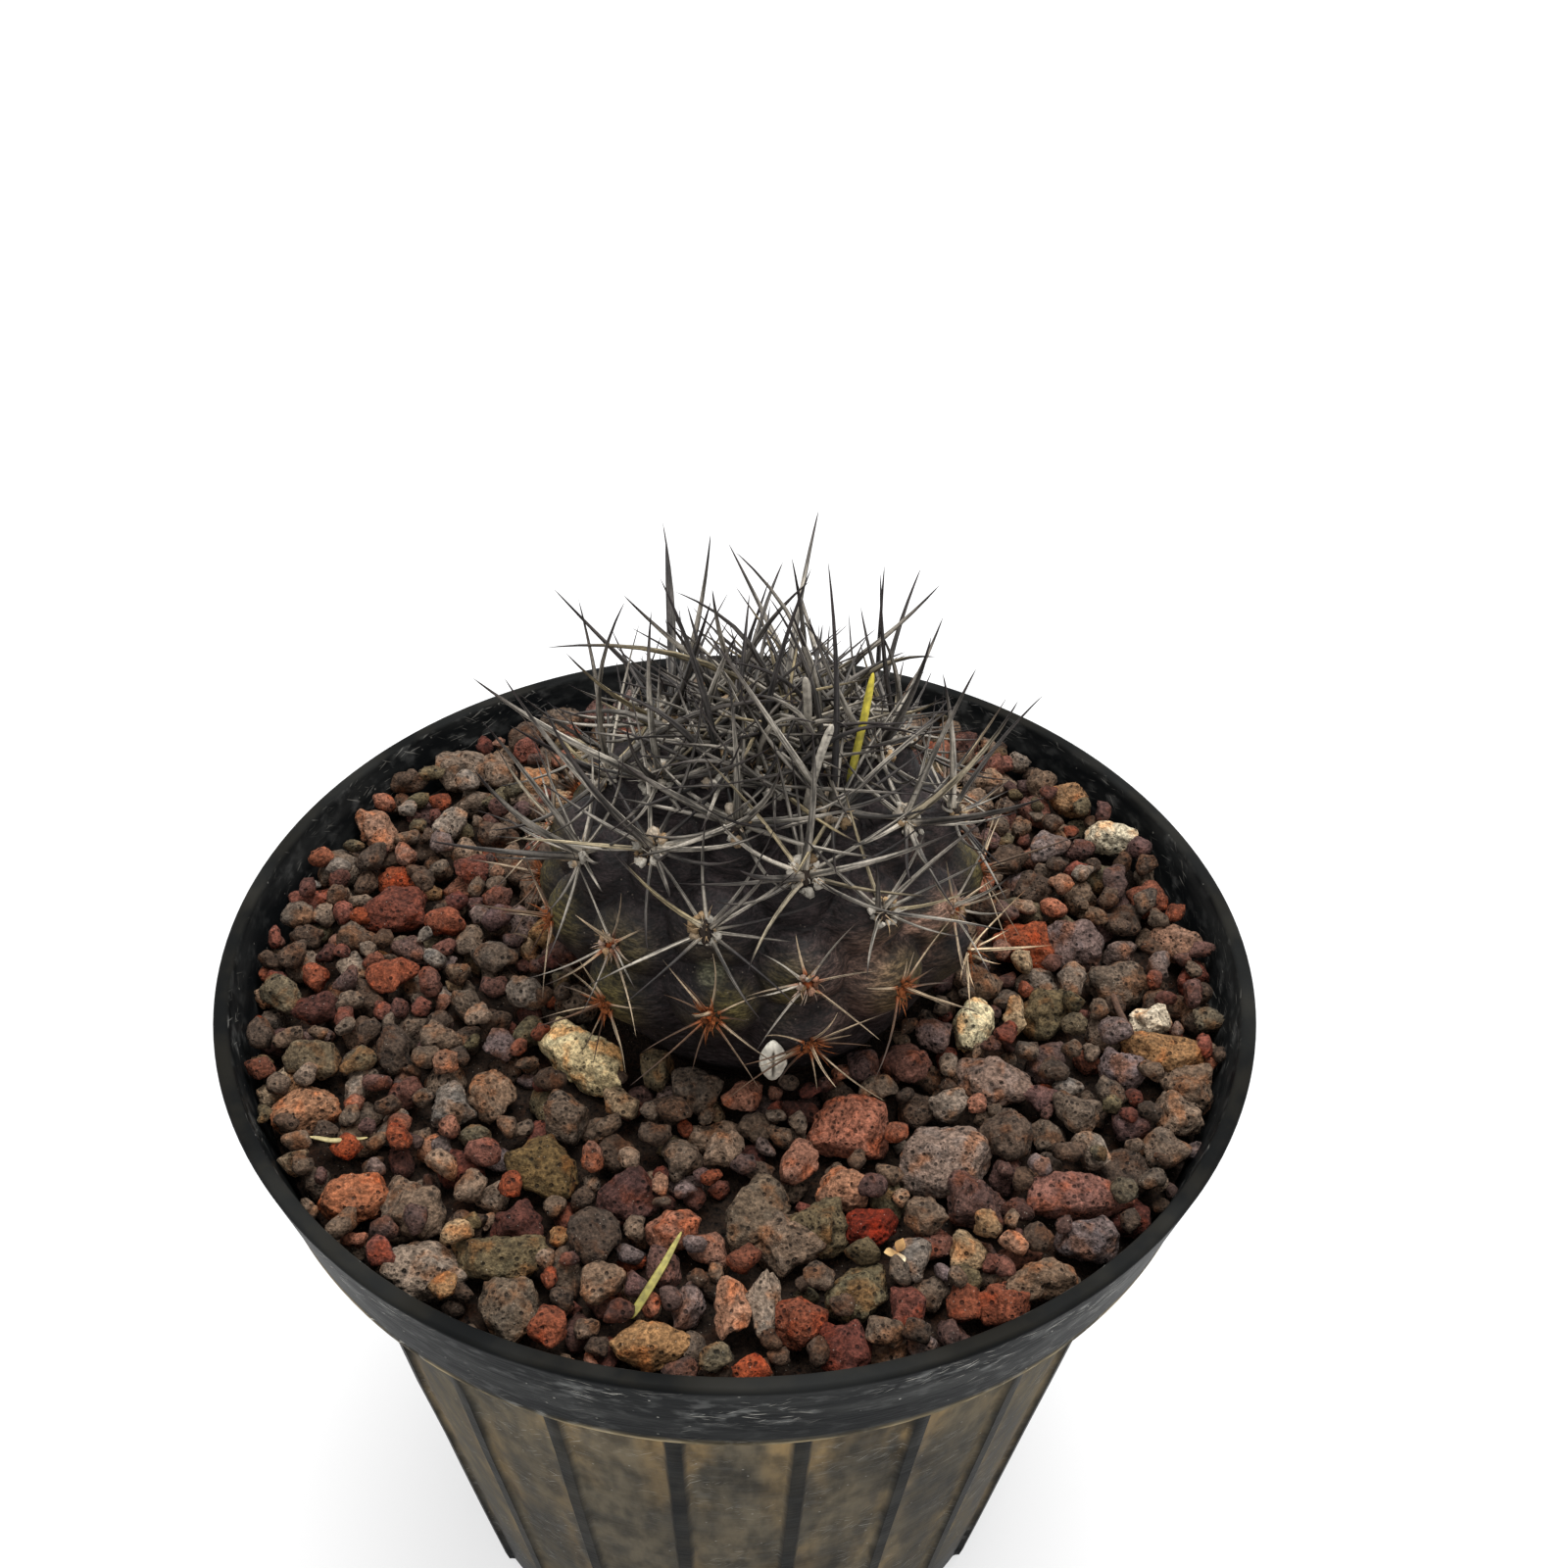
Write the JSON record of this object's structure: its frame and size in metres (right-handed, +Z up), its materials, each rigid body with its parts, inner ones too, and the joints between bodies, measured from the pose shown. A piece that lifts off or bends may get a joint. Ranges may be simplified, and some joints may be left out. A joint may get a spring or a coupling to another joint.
{
  "type": "potted neoporteria confinis",
  "caption": "Small dark globular cactus with long grey spines, rooted in lava grit in a black ribbed nursery pot that stands on a flat foot.",
  "frame": {"origin": "centre of the pot's foot, on the surface it stands on", "axes": "+Z up along the pot's axis, -Y the front that the picture shows, +X to the right of the front"},
  "size_m": [0.12, 0.12, 0.148],
  "materials": {
    "pot_plastic": "black injection-moulded plastic, satin, with pale scratches and dust",
    "potting_mix": "dark mineral potting mix",
    "lava_grit": "porous lava grit, brown, grey, purple and rust",
    "cactus_skin": "dark purplish-brown waxy skin with grey streaked spines",
    "stone_pale": "cream pumice with brown stains",
    "stone_red": "brick red porous lava",
    "stone_grey": "brown-grey porous lava",
    "stone_purple": "purplish porous lava",
    "dry_straw": "dry yellow grass",
    "dry_twig": "dry brown twig",
    "husk": "white papery husk"
  },
  "bodies": {
    "root": {"pot": "pot_plastic", "potting_mix": "potting_mix", "lava_gravel": "lava_grit", "cactus": "cactus_skin", "cream_stone": "stone_pale", "cream_slim_stone": "stone_pale", "off_white_stone": "stone_pale", "tan_stone": "stone_pale", "brick_red_stone": "stone_red", "bright_rust_stone": "stone_red", "terracotta_stone": "stone_red", "brick_slab_stone": "stone_red", "salmon_flat_stone": "stone_red", "pitted_grey_stone": "stone_grey", "grey_block_stone": "stone_grey", "olive_block_stone": "stone_grey", "grey_long_stone": "stone_grey", "lilac_grey_stone": "stone_purple", "purple_long_stone": "stone_purple", "plum_stone": "stone_purple", "crown_grass_blade": "dry_straw", "front_straw": "dry_straw", "left_straw": "dry_straw", "dry_flower_bit": "dry_straw", "brown_twig": "dry_twig", "white_husk": "husk"}
  },
  "joints": []
}
